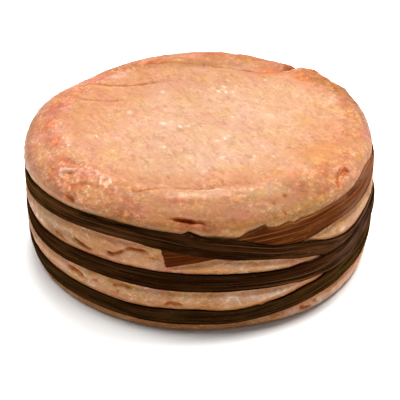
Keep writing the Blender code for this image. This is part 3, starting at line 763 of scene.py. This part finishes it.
def ring_count(run):
    """How many points the ring at this run has."""
    if run < QUARTER_RING_RADIUS:
        return RING_POINTS // 4
    return RING_POINTS // 2 if run < HALF_RING_RADIUS else RING_POINTS


def fan_faces(centre, start, count):
    """Triangles between a point and the ring round it."""
    return [(centre, start + index, start + (index + 1) % count) for index in range(count)]


def ring_faces(start, count, next_start, next_count):
    """Faces between two rings, where the outer one has as many points or twice as many."""
    faces = []
    for index in range(count):
        after = (index + 1) % count
        inner, inner_after = start + index, start + after
        if next_count == count:
            faces.append((inner, next_start + index, next_start + after, inner_after))
        else:
            first = next_start + 2 * index
            second = first + 1
            third = next_start + (2 * index + 2) % next_count
            faces.append((inner, first, second))
            faces.append((inner, second, inner_after))
            faces.append((inner_after, second, third))
    return faces


def add_object(name, data):
    obj = bpy.data.objects.new(name, data)
    bpy.context.scene.collection.objects.link(obj)
    return obj


def add_mesh(name, points, faces, material):
    mesh = bpy.data.meshes.new(name)
    mesh.from_pydata(points, [], faces)
    mesh.update()
    mesh.materials.append(material)
    return add_object(name, mesh)


def add_piece(name, points, faces, fields, material, nodes):
    """A smooth mesh piece with its masks, riding on the cheese."""
    piece = add_mesh(name, points.tolist(), faces, material)
    for field, values in fields.items():
        attribute = piece.data.attributes.new(field, "FLOAT", "POINT")
        attribute.data.foreach_set("value", np.asarray(values, dtype=np.float32).ravel())
    piece.data.shade_smooth()
    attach(piece, "root")
    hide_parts(*nodes)


def rind_piece(material):
    side_end = RUNS[-1]
    ring_total = round(side_end / RING_STEP)
    runs = [side_end * index / ring_total for index in range(1, ring_total + 1)]
    counts = [ring_count(run) for run in runs]
    azimuths, all_runs, starts = [np.array([0.0])], [np.array([0.0])], []
    start = 1
    for run, count in zip(runs, counts):
        starts.append(start)
        start += count
        turned = np.arange(count) * TURN / count - TURN / 2
        azimuths.append(turned - np.degrees(FRONT_CROWDING * np.sin(np.radians(turned))))
        all_runs.append(np.full(count, run))
    azimuth, run = np.concatenate(azimuths), np.concatenate(all_runs)
    relief, fields = rind_fields(azimuth, run)
    points = wheel_points(azimuth, run, relief)

    faces = fan_faces(0, starts[0], counts[0])
    for index in range(len(runs) - 1):
        faces += ring_faces(starts[index], counts[index], starts[index + 1], counts[index + 1])

    # The flat base
    faces += [face[::-1] for face in fan_faces(len(points), starts[-1], counts[-1])]
    points = np.vstack((points, (0.0, 0.0, 0.0)))
    fields = {name: np.append(values, values[starts[-1]]) for name, values in fields.items()}
    add_piece("rind", points, faces, fields, material, ("cheese_wheel",))


# Splinters and nicks of a strip's edges: the azimuths where one begins, peaks and ends, how far the edge
# moves outward in millimetres, and which edge it is
EdgeMark = namedtuple("EdgeMark", "first peak last height edge")
RED_EDGE_MARKS = tuple(EdgeMark(*row) for row in (
    (3.0, 11.5, 14.5, -1.6, "upper"), (14.5, 20.4, 21.6, 1.5, "upper"), (21.6, 24.5, 27.0, -0.5, "upper"),
    (29.2, 30.4, 32.4, -0.7, "upper"),
))
DARK_EDGE_MARKS = tuple(EdgeMark(*row) for row in (
    (-5.6, -3.6, 0.4, 1.5, "upper"), (40.0, 43.0, 45.0, 1.4, "lower"), (120.0, 124.0, 130.0, 0.9, "upper"),
    (250.0, 252.0, 256.0, -0.8, "lower"), (389.0, 394.0, 397.0, 0.8, "upper"),
    (393.0, 400.0, 408.0, -0.6, "lower"), (606.0, 611.0, 613.0, 1.0, "upper"),
    (738.4, 740.0, 741.6, -0.7, "upper"), (740.0, 747.0, 757.0, -0.8, "upper"),
    (754.0, 759.0, 766.0, -0.7, "upper"),
))


def edge_shift(marks, azimuth, edge):
    """How far splinters and nicks move an edge outward."""
    shift = np.zeros(np.shape(azimuth))
    for mark in marks:
        if mark.edge != edge:
            continue
        rise = np.clip((azimuth - mark.first) / (mark.peak - mark.first), 0, 1)
        fall = np.clip((mark.last - azimuth) / (mark.last - mark.peak), 0, 1)
        shift += mark.height * MM * np.minimum(rise, fall)
    return shift


# A strip's mesh: the degrees between rows, and the columns on its outer and inner face. The fibre lines and
# their width are shares of the strip's width, and the ends are ragged by so many degrees.
STRIP_STEP = 0.4
OUTER_COLUMNS = 21
INNER_COLUMNS = 5
INNER_GAP = 0.12 * MM
OUTER_THICKNESS = 0.66 * MM
FIBRE_LINES = (-0.36, -0.17, 0.03, 0.2, 0.38)
FIBRE_LINE_WIDTH = 0.034
END_RAGGEDNESS = 0.35
EDGE_SHARE = 0.34
EDGE_POWER = 5
RED_SEED = 5
DARK_SEED = 8


def strip_surface(windings, azimuth, across, marks, seed):
    """Runs, base heights and widths for a grid of a strip's places, across from -0.5 to 0.5."""
    run, raised, width = (np.zeros(azimuth.shape) for _ in range(3))
    chosen = np.zeros(azimuth.shape, dtype=bool)
    for winding in windings:
        own = ~chosen & ((azimuth <= winding.last) | (winding is windings[-1]))
        chosen |= own
        half = strip_width(winding, azimuth[own]) / 2
        length = np.radians(azimuth[own]) * RADIUS
        place = across[own]
        outer = rising(np.abs(place), 0.3, 0.2)
        shifts = []
        for edge, outward, wobble_shift in (("upper", place, 1.5), ("lower", -place, 7.5)):
            reach = half + 0.16 * MM * fibre_wobble(length, seed, 7 * MM, 1.0, wobble_shift)
            reach += 0.07 * MM * fibre_wobble(length, seed, 1.8 * MM, 1.0, wobble_shift + 10)
            shifts.append(outward * 2 * reach + edge_shift(marks, azimuth[own], edge) * outer)
        run[own] = strip_middle(winding, azimuth[own]) - np.where(place > 0, shifts[0], -shifts[1])
        raised[own] = lift(winding, azimuth[own], run[own])
        width[own] = 2 * half
    return run, raised, width


def red_tones(azimuth, places, threads):
    """How bright, with a painted sheen towards the sides, how olive and how ruddy the red strip is."""
    sides = rising(np.abs(within_half_turn(azimuth)), 12, 45)
    at_end = falling(azimuth, 14, 12)
    # Painted sheen: lighter towards the left and right of the wheel
    tone_sheen_and_shade = 0.97 + 0.2 * sides - 0.43 * at_end - 0.2 * bell((azimuth - 18) / 4)
    tone_sheen_and_shade += 0.45 * rising(azimuth, 42, 20) * (1 - rising(azimuth, 80, 30))
    return tone_sheen_and_shade, 0.1 * sides, 0.3 * (0.25 + 0.75 * at_end)


def dark_tones(azimuth, places, threads):
    """How bright, with a painted sheen towards the sides, how olive and how ruddy the dark strip is."""
    facing = within_half_turn(azimuth)
    sides = rising(np.abs(facing), 12, 45)
    low_turn = rising(azimuth, 620, 40)
    tone_sheen_and_shade = 0.95 - 0.25 * rising(azimuth, 230, 40) + 0.18 * low_turn
    # Painted sheen: lighter towards the left and right of the wheel, less on the lowest turn
    tone_sheen_and_shade *= 1 + 0.75 * sides * (1 - 0.7 * low_turn)
    tone_sheen_and_shade *= 1 - 0.36 * falling(facing, 35, 30) * (1 - 0.5 * low_turn)
    ruddy = 0.3 * np.clip(0.5 + threads, 0, 1) * rising(np.abs(places), 0.15, 0.2)
    ruddy *= bell((facing - 38) / 7) * (azimuth > TURN / 2)
    return tone_sheen_and_shade, 0.15 * sides + 0.3 * low_turn, ruddy


def strip_piece(name, windings, end_slant, marks, seed, tones, material, nodes):
    """A flat strip of sedge with its fibres, bent round the wheel."""
    first, last = windings[0].first, windings[-1].last
    along = np.linspace(first, last, round((last - first) / STRIP_STEP) + 1)
    across = np.concatenate((np.linspace(-0.5, 0.5, OUTER_COLUMNS), np.linspace(0.5, -0.5, INNER_COLUMNS)))
    is_outer = np.arange(len(across)) < OUTER_COLUMNS
    azimuth = along[:, None] - end_slant * across
    ragged = np.abs(np.random.default_rng(seed).normal(0, END_RAGGEDNESS, len(across)))
    azimuth[0] += ragged
    azimuth[-1] -= ragged
    places = np.broadcast_to(across, azimuth.shape)
    run, raised, width = strip_surface(windings, azimuth, places, marks, seed)

    length = np.radians(azimuth) * RADIUS
    wide = places * width
    lines = np.zeros(azimuth.shape)
    for index, line in enumerate(FIBRE_LINES):
        wander = line + 0.03 * fibre_wobble(length, index * 3.1, 60 * MM, 1.0, seed)
        strength = 0.75 + 0.6 * fibre_wobble(length, index * 5.3, 26 * MM, 1.0, seed + 4.0)
        lines += np.clip(strength, 0.1, 1.3) * bell((places - wander) / FIBRE_LINE_WIDTH)
    threads = fibre_wobble(length, wide, 30 * MM, 0.55 * MM, seed + 9.0)
    fine_threads = fibre_wobble(length, wide, 16 * MM, 0.28 * MM, seed + 19.0)

    off_edge = 1 - np.abs(2 * places) ** EDGE_POWER
    body = OUTER_THICKNESS * (EDGE_SHARE + (1 - EDGE_SHARE) * np.sqrt(np.clip(off_edge, 0, 1)))
    crown = 0.05 * MM * (1 - (2 * places) ** 2)
    fibres = (0.05 * threads + 0.03 * fine_threads - 0.09 * lines) * MM * off_edge
    height = under_strip(azimuth, run) + INNER_GAP + raised + np.where(is_outer, body + crown + fibres, 0.0)
    points = wheel_points(azimuth, run, height)

    index = np.arange(azimuth.size).reshape(azimuth.shape)
    beside = np.roll(index, -1, axis=1)
    faces = np.stack((index[:-1], beside[:-1], beside[1:], index[1:]), axis=-1).reshape(-1, 4).tolist()
    faces += end_faces(index[0], OUTER_COLUMNS, False) + end_faces(index[-1], OUTER_COLUMNS, True)
    tone_sheen_and_shade, olive, ruddy = tones(azimuth, places, threads)
    fields = {
        "along": length,
        "across": wide,
        "line": np.clip(lines, 0, 1.3),
        "thread": threads,
        "turn": azimuth / TURN,
        "ruddy": ruddy,
        # Painted shade along the strips' edges
        "tone_sheen_and_shade": tone_sheen_and_shade * (0.4 + 0.6 * falling(np.abs(places), 0.5, 0.07)),
        "olive": olive,
        "greyness": 0.7 * bell((within_half_turn(azimuth) - 62) / 14) * (azimuth < MIDDLE_TURN_END),
    }
    add_piece(name, points.reshape(-1, 3), faces, fields, material, nodes)


def end_faces(row, outer_columns, flip):
    """Triangles and quads that close a strip's cut end, between its outer and inner edge."""
    outer = [int(value) for value in row[:outer_columns]]
    inner = [int(value) for value in row[outer_columns:]][::-1]
    faces = []
    spread = (outer_columns - 1) / (len(inner) - 1)
    for index in range(outer_columns - 1):
        left = round(index / spread)
        right = round((index + 1) / spread)
        face = [outer[index], outer[index + 1], inner[right]]
        if right != left:
            face.append(inner[left])
        faces.append(tuple(face if flip else face[::-1]))
    return faces


def under_strip(azimuth, run):
    """The height of the rind's broad surface where a strip lies on it."""
    level = smooth_step(wheel_points(azimuth, run)[..., 2] / LEVEL_FOOT)
    return level * (slow_relief(azimuth, run) - GROOVE_DEPTH * cover(azimuth, run))


class Graph:
    """The nodes of a new material."""

    def __init__(self, name):
        self.material = bpy.data.materials.new(name)
        self.material.use_nodes = True
        self.tree = self.material.node_tree
        self.shader = self.tree.nodes["Principled BSDF"]

    def put(self, socket, value):
        if isinstance(value, bpy.types.NodeSocket):
            self.tree.links.new(value, socket)
        else:
            socket.default_value = value

    def fill(self, node, **inputs):
        """Sets a node's inputs, named with underscores for spaces, to values or other nodes' outputs."""
        for key, value in inputs.items():
            self.put(node.inputs[key.replace("_", " ")], value)

    def add(self, kind, settings=(), output=0, **inputs):
        """The output of a new node with these settings and inputs."""
        node = self.tree.nodes.new(kind)
        for key, value in settings:
            setattr(node, key, value)
        self.fill(node, **inputs)
        return node.outputs[output]

    def mask(self, name):
        return self.add("ShaderNodeAttribute", [("attribute_name", name)], "Fac")

    def mix(self, share, below, above, blend="MIX"):
        node = self.tree.nodes.new("ShaderNodeMix")
        node.data_type = "RGBA"
        node.blend_type = blend
        node.clamp_factor = True
        for socket, value in ((0, share), (6, below), (7, above)):
            self.put(node.inputs[socket], value)
        return node.outputs[2]

    def calculate(self, operation, *values):
        node = self.tree.nodes.new("ShaderNodeMath")
        node.operation = operation
        for socket, value in zip(node.inputs, values):
            self.put(socket, value)
        return node.outputs[0]

    def minus(self, first, second):
        return self.calculate("SUBTRACT", first, second)

    def times(self, first, second):
        return self.calculate("MULTIPLY", first, second)

    def plus(self, base, amount, share):
        """The base and a share of the amount together."""
        return self.calculate("MULTIPLY_ADD", amount, share, base)

    def noise(self, coordinates, scale, detail, roughness, shift=0.0):
        return self.add("ShaderNodeTexNoise", [("noise_dimensions", "4D")], Vector=coordinates, W=shift,
                        Scale=scale, Detail=detail, Roughness=roughness)

    def ramp(self, value, low, high):
        """0 at and below low, 1 at and above high, smooth between."""
        return self.add("ShaderNodeMapRange", [("interpolation_type", "SMOOTHSTEP")], Value=value,
                        From_Min=low, From_Max=high)

    def spread(self, value, low, high):
        """A value from 0 to 1 spread evenly from low to high."""
        return self.add("ShaderNodeMapRange", Value=value, To_Min=low, To_Max=high)

    def paint(self, red, green, blue):
        return self.add("ShaderNodeCombineColor", Red=red, Green=green, Blue=blue)

    def bump(self, height, strength, distance):
        return self.add("ShaderNodeBump", Strength=strength, Distance=distance, Height=height)


def colour(red, green, blue):
    """A shader colour from sRGB."""
    channels = [channel / 255 for channel in (red, green, blue)]
    linear = [value / 12.92 if value <= 0.04045 else ((value + 0.055) / 1.055) ** 2.4 for value in channels]
    return (*linear, 1.0)


# The rind's colour where it is palest, and what is left of each channel for each measure of pigment
PALE_RIND = (0.46, 0.335, 0.255)
PIGMENT = (0.819, 0.589, 0.436)
WHITEST = -0.55
# How much more or less pigment the warmth puts into each channel
WARMTH = (0.0, -0.16, 0.3)
# Unevenness of the pigment, the brightness and the warmth: a noise's scale, and how much it adds on the
# top and elsewhere
PIGMENT_NOISE = ((95, 0.4, 0.85), (240, 0.4, 0.7), (650, 0.15, 0.35))
SHADE_NOISE = ((420, 0.2, 0.4), (900, 0.3, 0.6), (1900, 0.25, 0.45))
WARMTH_NOISE = ((130, 1.1, 1.4), (330, 0.3, 0.7))
DARKEST_GRAIN = 0.86


def rind_material():
    graph = Graph("washed_rind")
    plus, minus, times, noise_at, ramp = graph.plus, graph.minus, graph.times, graph.noise, graph.ramp
    place = graph.add("ShaderNodeTexCoord", output="Object")

    def stretched(scale, turn=0.0):
        """The place, with patterns drawn out by the scale and turned."""
        return graph.add("ShaderNodeMapping", [("vector_type", "TEXTURE")], Vector=place, Scale=scale,
                         Rotation=(0, 0, math.radians(turn)))

    level = stretched((1.6, 1.6, 1))
    woven = stretched((1.5, 1, 1), WEAVE_SLANT)
    slanted = stretched((2.3, 1, 1), WEAVE_SLANT)
    top = graph.mask("top")
    below = minus(1.0, top)

    def uneven(value, table, shift):
        """The value with layers of noise added, drawn out one way on the top and another way elsewhere."""
        for index, (scale, on_top, elsewhere) in enumerate(table):
            for coordinates, share, amount in ((woven, top, on_top), (level, below, elsewhere)):
                layer = noise_at(coordinates, scale, 2, 0.6, shift + index * 3.7)
                value = plus(value, plus(-amount, layer, 2 * amount), share)
        return value

    def crisp(name, scale, unevenness, low, high, shift):
        """A mask whose outline is sharpened and broken up by noise."""
        layer = minus(noise_at(level, scale, 2, 0.6, shift), 0.5)
        broken = plus(graph.mask(name), layer, unevenness)
        return times(plus(0.35, ramp(broken, low, high), 0.65), graph.mask(name))

    stain = crisp("stain", 900, 0.8, 0.3, 0.8, 61.0)
    bloom = crisp("bloom", 1100, 1.0, 0.35, 0.75, 67.0)
    lively = ramp(noise_at(level, 170, 2, 0.5, 83.0), 0.4, 0.62)
    lively = times(plus(0.4, lively, 0.9), graph.mask("lively"))
    strokes = ramp(noise_at(slanted, 640, 1, 0.5, 17.0), 0.55, 0.7)
    # Painted glints: light flecks on the top, taken out of the dark strokes
    glint_flecks = ramp(noise_at(slanted, 820, 1, 0.5, 23.0), 0.6, 0.74)
    strokes = times(minus(strokes, glint_flecks), top)
    flakes = times(times(ramp(noise_at(level, 860, 2, 0.6, 91.0), 0.58, 0.68), below), lively)
    cream = times(ramp(noise_at(level, 520, 2, 0.6, 29.0), 0.56, 0.7), below)
    # Thin pale threads that wander over the side and crowd on the wrinkled shoulder
    vein = graph.calculate("ABSOLUTE", minus(noise_at(level, 260, 2, 0.55, 31.0), 0.5))
    vein = times(minus(1.0, ramp(vein, 0.003, 0.017)), graph.mask("veins"))
    vein = times(vein, ramp(noise_at(place, 130, 1, 0.5, 41.0), 0.45, 0.6))

    pigment = uneven(graph.mask("pigment"), PIGMENT_NOISE, 0.0)
    shade = plus(1.0, uneven(0.0, SHADE_NOISE, 71.0), lively)
    shade = graph.calculate("MAXIMUM", shade, DARKEST_GRAIN)
    # Stains darken as well as redden: painted shade in creases, hollows, pits and under the strips
    shade = plus(shade, graph.calculate("MINIMUM", stain, 1.0), -0.2)
    # Each layer adds pigment and brightness; the light flecks among the strokes are painted glints, and the
    # whitish layer is partly painted glints
    layers = ((stain, 2.4, 0.0), (bloom, -1.1, 0.06), (strokes, 0.2, -0.08), (flakes, -0.4, 0.09),
              (cream, -0.45, 0.05), (vein, -0.9, 0.12))
    for layer, more_pigment, brighter in layers:
        pigment = plus(pigment, layer, more_pigment)
        shade = plus(shade, layer, brighter)
    pigment = graph.calculate("MAXIMUM", pigment, WHITEST)
    shade = times(shade, graph.mask("shade"))
    weight = graph.calculate("MINIMUM", graph.calculate("MAXIMUM", pigment, 0.2), 1.4)
    warmth = times(uneven(graph.mask("warmth"), WARMTH_NOISE, 53.0), weight)
    channels = []
    for pale, left_over, share in zip(PALE_RIND, PIGMENT, WARMTH):
        channel = graph.calculate("POWER", left_over, plus(pigment, warmth, share))
        channels.append(times(times(channel, pale), shade))

    mottle = noise_at(place, 330, 3, 0.6)
    grain = noise_at(place, 1100, 3, 0.6)
    height = plus(plus(times(grain, 0.4), mottle, 0.6), vein, 0.3)
    graph.fill(graph.shader, Base_Color=graph.paint(*channels), Roughness=graph.spread(mottle, 0.42, 0.68),
               Specular_IOR_Level=graph.spread(stain, 0.12, 0.0), Subsurface_Weight=0.06,
               Subsurface_Radius=(1.0, 0.45, 0.25), Subsurface_Scale=1.4 * MM,
               Normal=graph.bump(height, 0.9, 0.5 * MM))
    return graph.material


# By how much the greener parts of the sedge multiply each channel
OLIVE_TINT = (0.94, 1.35, 1.1, 1.0)
# The sedges' dark, middle and light colours, and the colour of their dry fibres
RED_PAINTS = (colour(44, 17, 5), colour(97, 49, 18), colour(132, 80, 40), colour(162, 112, 68))
DARK_PAINTS = (colour(16, 8, 3), colour(56, 29, 12), colour(92, 55, 27), colour(122, 86, 52))
RUDDY = colour(110, 40, 10)
GREYISH = colour(84, 60, 48)
SEDGE_ROUGHNESS = (0.4, 0.64)


def sedge_material(name, dark, middle, light, dry):
    graph = Graph(name)
    times, ramp, mask = graph.times, graph.ramp, graph.mask

    def drawn_out(per_length, per_width, detail):
        """Noise drawn out along the strip."""
        place = graph.add("ShaderNodeCombineXYZ", X=times(mask("along"), per_length),
                          Y=times(mask("across"), per_width), Z=mask("turn"))
        return graph.noise(place, 1.0, detail, 0.6)

    fibres = drawn_out(10.0, 1100.0, 2)
    fine = drawn_out(16.0, 2100.0, 1)
    worn = drawn_out(60.0, 330.0, 2)
    drift = drawn_out(26.0, 60.0, 2)
    grit = drawn_out(500.0, 1500.0, 1)
    base = graph.mix(ramp(fibres, 0.34, 0.66), dark, middle)
    layers = (
        (times(ramp(worn, 0.42, 0.7), 0.45), light),
        (times(ramp(mask("thread"), 0.05, 0.5), 0.2), light),
        (times(mask("line"), 0.45), dark),
        (times(ramp(fine, 0.58, 0.72), 0.45), dry),
        (times(ramp(grit, 0.6, 0.8), 0.3), dry),
        (mask("ruddy"), RUDDY),
    )
    for share, paint in layers:
        base = graph.mix(share, base, paint)
    olive = times(mask("olive"), ramp(drift, 0.3, 0.6))
    base = graph.mix(times(olive, 2.0), base, OLIVE_TINT, "MULTIPLY")
    base = graph.mix(times(mask("greyness"), ramp(worn, 0.35, 0.6)), base, GREYISH)
    # Multiplied by the strip's brightness, which holds painted sheen at the sides and painted shade at the
    # edges
    base = graph.mix(1.0, base, graph.paint(*[mask("tone_sheen_and_shade")] * 3), "MULTIPLY")
    graph.fill(graph.shader, Base_Color=base, Roughness=graph.spread(fibres, *SEDGE_ROUGHNESS),
               Specular_IOR_Level=0.0, Normal=graph.bump(fibres, 0.6, 0.2 * MM))
    return graph.material


def floor_material():
    graph = Graph("pale_floor")
    graph.fill(graph.shader, Base_Color=(0.95, 0.95, 0.95, 1), Roughness=0.75, Specular_IOR_Level=0.1)
    return graph.material


FLOOR_HALF = 6.0


def floor():
    corners = [(x * FLOOR_HALF, y * FLOOR_HALF, 0) for x, y in ((-1, -1), (1, -1), (1, 1), (-1, 1))]
    piece = add_mesh("floor", corners, [(0, 1, 2, 3)], floor_material())
    piece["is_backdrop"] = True


# The camera, from the outline of the wheel in the photograph
CAMERA_ELEVATION = 32.43
CAMERA_DISTANCE = 0.6
CAMERA_TARGET = Vector((-0.000025, 0.0, 0.014769))
CAMERA_LENS = 153.4
SENSOR_WIDTH = 36.0
CAMERA_REACH = 20.0


def aim(obj, target, backward):
    """Places a camera or lamp at the end of a vector from its target, looking at the target."""
    obj.location = target + backward
    obj.rotation_euler = backward.to_track_quat("Z", "Y").to_euler()


def camera():
    data = bpy.data.cameras.new("camera")
    data.lens = CAMERA_LENS
    data.sensor_width = SENSOR_WIDTH
    data.clip_end = CAMERA_REACH
    obj = add_object("camera", data)
    elevation = math.radians(CAMERA_ELEVATION)
    backward = Vector((0.0, -math.cos(elevation), math.sin(elevation)))
    aim(obj, CAMERA_TARGET, backward * CAMERA_DISTANCE)
    bpy.context.scene.camera = obj


# Round lamps over the wheel, in metres and watts
Lamp = namedtuple("Lamp", "name position size power")
LAMPS = (
    Lamp("back_right", (0.4, 0.3, 1.2), 0.6, 24.0),
    Lamp("left", (-0.5, 0.0, 1.2), 0.6, 7.8),
    Lamp("back", (0.0, 0.5, 1.2), 0.6, 12.0),
    Lamp("overhead", (0.0, 0.0, 1.3), 0.3, 6.5),
)
LAMP_TINT = (1.0, 0.985, 0.965)
LAMP_TARGET = Vector((0.0, 0.0, 0.02))
ROOM_BRIGHTNESS = 0.22


def lighting():
    for lamp in LAMPS:
        data = bpy.data.lights.new(lamp.name, "AREA")
        data.shape = "DISK"
        data.size = lamp.size
        data.energy = lamp.power
        data.color = LAMP_TINT
        aim(add_object(lamp.name, data), LAMP_TARGET, Vector(lamp.position) - LAMP_TARGET)

    world = bpy.data.worlds.new("soft_room")
    world.use_nodes = True
    background = world.node_tree.nodes["Background"]
    background.inputs["Color"].default_value = (1.0, 1.0, 1.0, 1)
    background.inputs["Strength"].default_value = ROOM_BRIGHTNESS
    bpy.context.scene.world = world
    bpy.context.scene.view_settings.view_transform = "Standard"


camera()
lighting()
floor()
rind_piece(rind_material())
red_sedge = sedge_material("red_sedge", *RED_PAINTS)
dark_sedge = sedge_material("dark_sedge", *DARK_PAINTS)
strip_piece("sedge_red", (RED,), RED_END_SLANT, RED_EDGE_MARKS, RED_SEED, red_tones, red_sedge,
            ("sedge_strip_red",))
strip_piece("sedge_dark", (UPPER, MIDDLE, LOWER), DARK_END_SLANT, DARK_EDGE_MARKS, DARK_SEED, dark_tones,
            dark_sedge, ("sedge_strip_dark",))

boxes = [[float(value) for corner in box for value in corner] for box in (CAD_BOX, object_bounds())]
